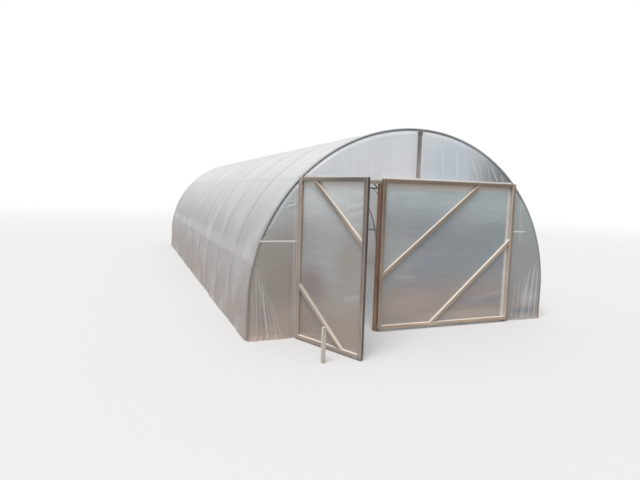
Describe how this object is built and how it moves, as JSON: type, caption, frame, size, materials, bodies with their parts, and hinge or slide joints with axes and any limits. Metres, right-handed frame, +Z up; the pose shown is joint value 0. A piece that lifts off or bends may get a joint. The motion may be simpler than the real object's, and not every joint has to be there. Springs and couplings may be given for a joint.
{
  "type": "polytunnel greenhouse",
  "caption": "Long half-round polytunnel: steel hoops under white plastic film, with timber-framed film end walls and two hinged film doors, one standing open.",
  "frame": {"origin": "on the ground, under the middle of the whole part with its left leaf standing open", "axes": "X across the tunnel, Y along it from the door end to the closed end, Z up"},
  "size_m": [4.033, 10.3908, 2.3851],
  "materials": {
    "pipe": "dull galvanised round pipe",
    "cover_film": "milky clear plastic film, softly pleated",
    "end_film": "thin clear plastic film with fine creases",
    "timber": "sawn softwood",
    "leaf_timber": "sawn softwood, greyed on the open leaf",
    "hinge": "plain zinc plated hinge",
    "wire": "dark bent wire",
    "stake": "weathered sawn stake"
  },
  "bodies": {
    "tunnel": {"front_hoop": "pipe", "inner_hoops": "pipe", "back_hoop": "pipe", "ridge_purlin": "pipe", "upper_purlins": "pipe", "lower_purlins": "pipe", "cover_left_side": "cover_film", "cover_left_slope": "cover_film", "cover_left_roof": "cover_film", "cover_right_side": "cover_film", "cover_right_slope": "cover_film", "cover_right_roof": "cover_film", "gable_film": "end_film", "left_cheek_film": "end_film", "right_cheek_film": "end_film", "left_post": "timber", "middle_post": "timber", "right_post": "timber", "door_head": "timber", "king_post": "timber", "left_lath": "timber", "right_lath": "timber", "back_posts": "timber", "back_head": "timber", "back_king_post": "timber", "back_film": "end_film", "left_post_hinges": "hinge", "right_post_hinges": "hinge", "door_hook": "wire", "door_stake": "stake"},
    "left_leaf": {"left_leaf_stiles": "leaf_timber", "left_leaf_rails": "leaf_timber", "left_leaf_braces": "leaf_timber", "left_leaf_film": "end_film", "left_leaf_hinges": "hinge"},
    "right_leaf": {"right_leaf_stiles": "leaf_timber", "right_leaf_rails": "leaf_timber", "right_leaf_braces": "leaf_timber", "right_leaf_film": "end_film", "right_leaf_hinges": "hinge"}
  },
  "joints": [
    {"name": "left_leaf_hinge", "type": "hinge", "parent": "tunnel", "child": "left_leaf", "pos_m": [-1.4501, -4.2926, 0], "axis": [0, 0, 1], "range_deg": [-19, 67]},
    {"name": "right_leaf_hinge", "type": "hinge", "parent": "tunnel", "child": "right_leaf", "pos_m": [1.4311, -4.2926, 0], "axis": [0, 0, 1], "range_deg": [0, 90]}
  ]
}
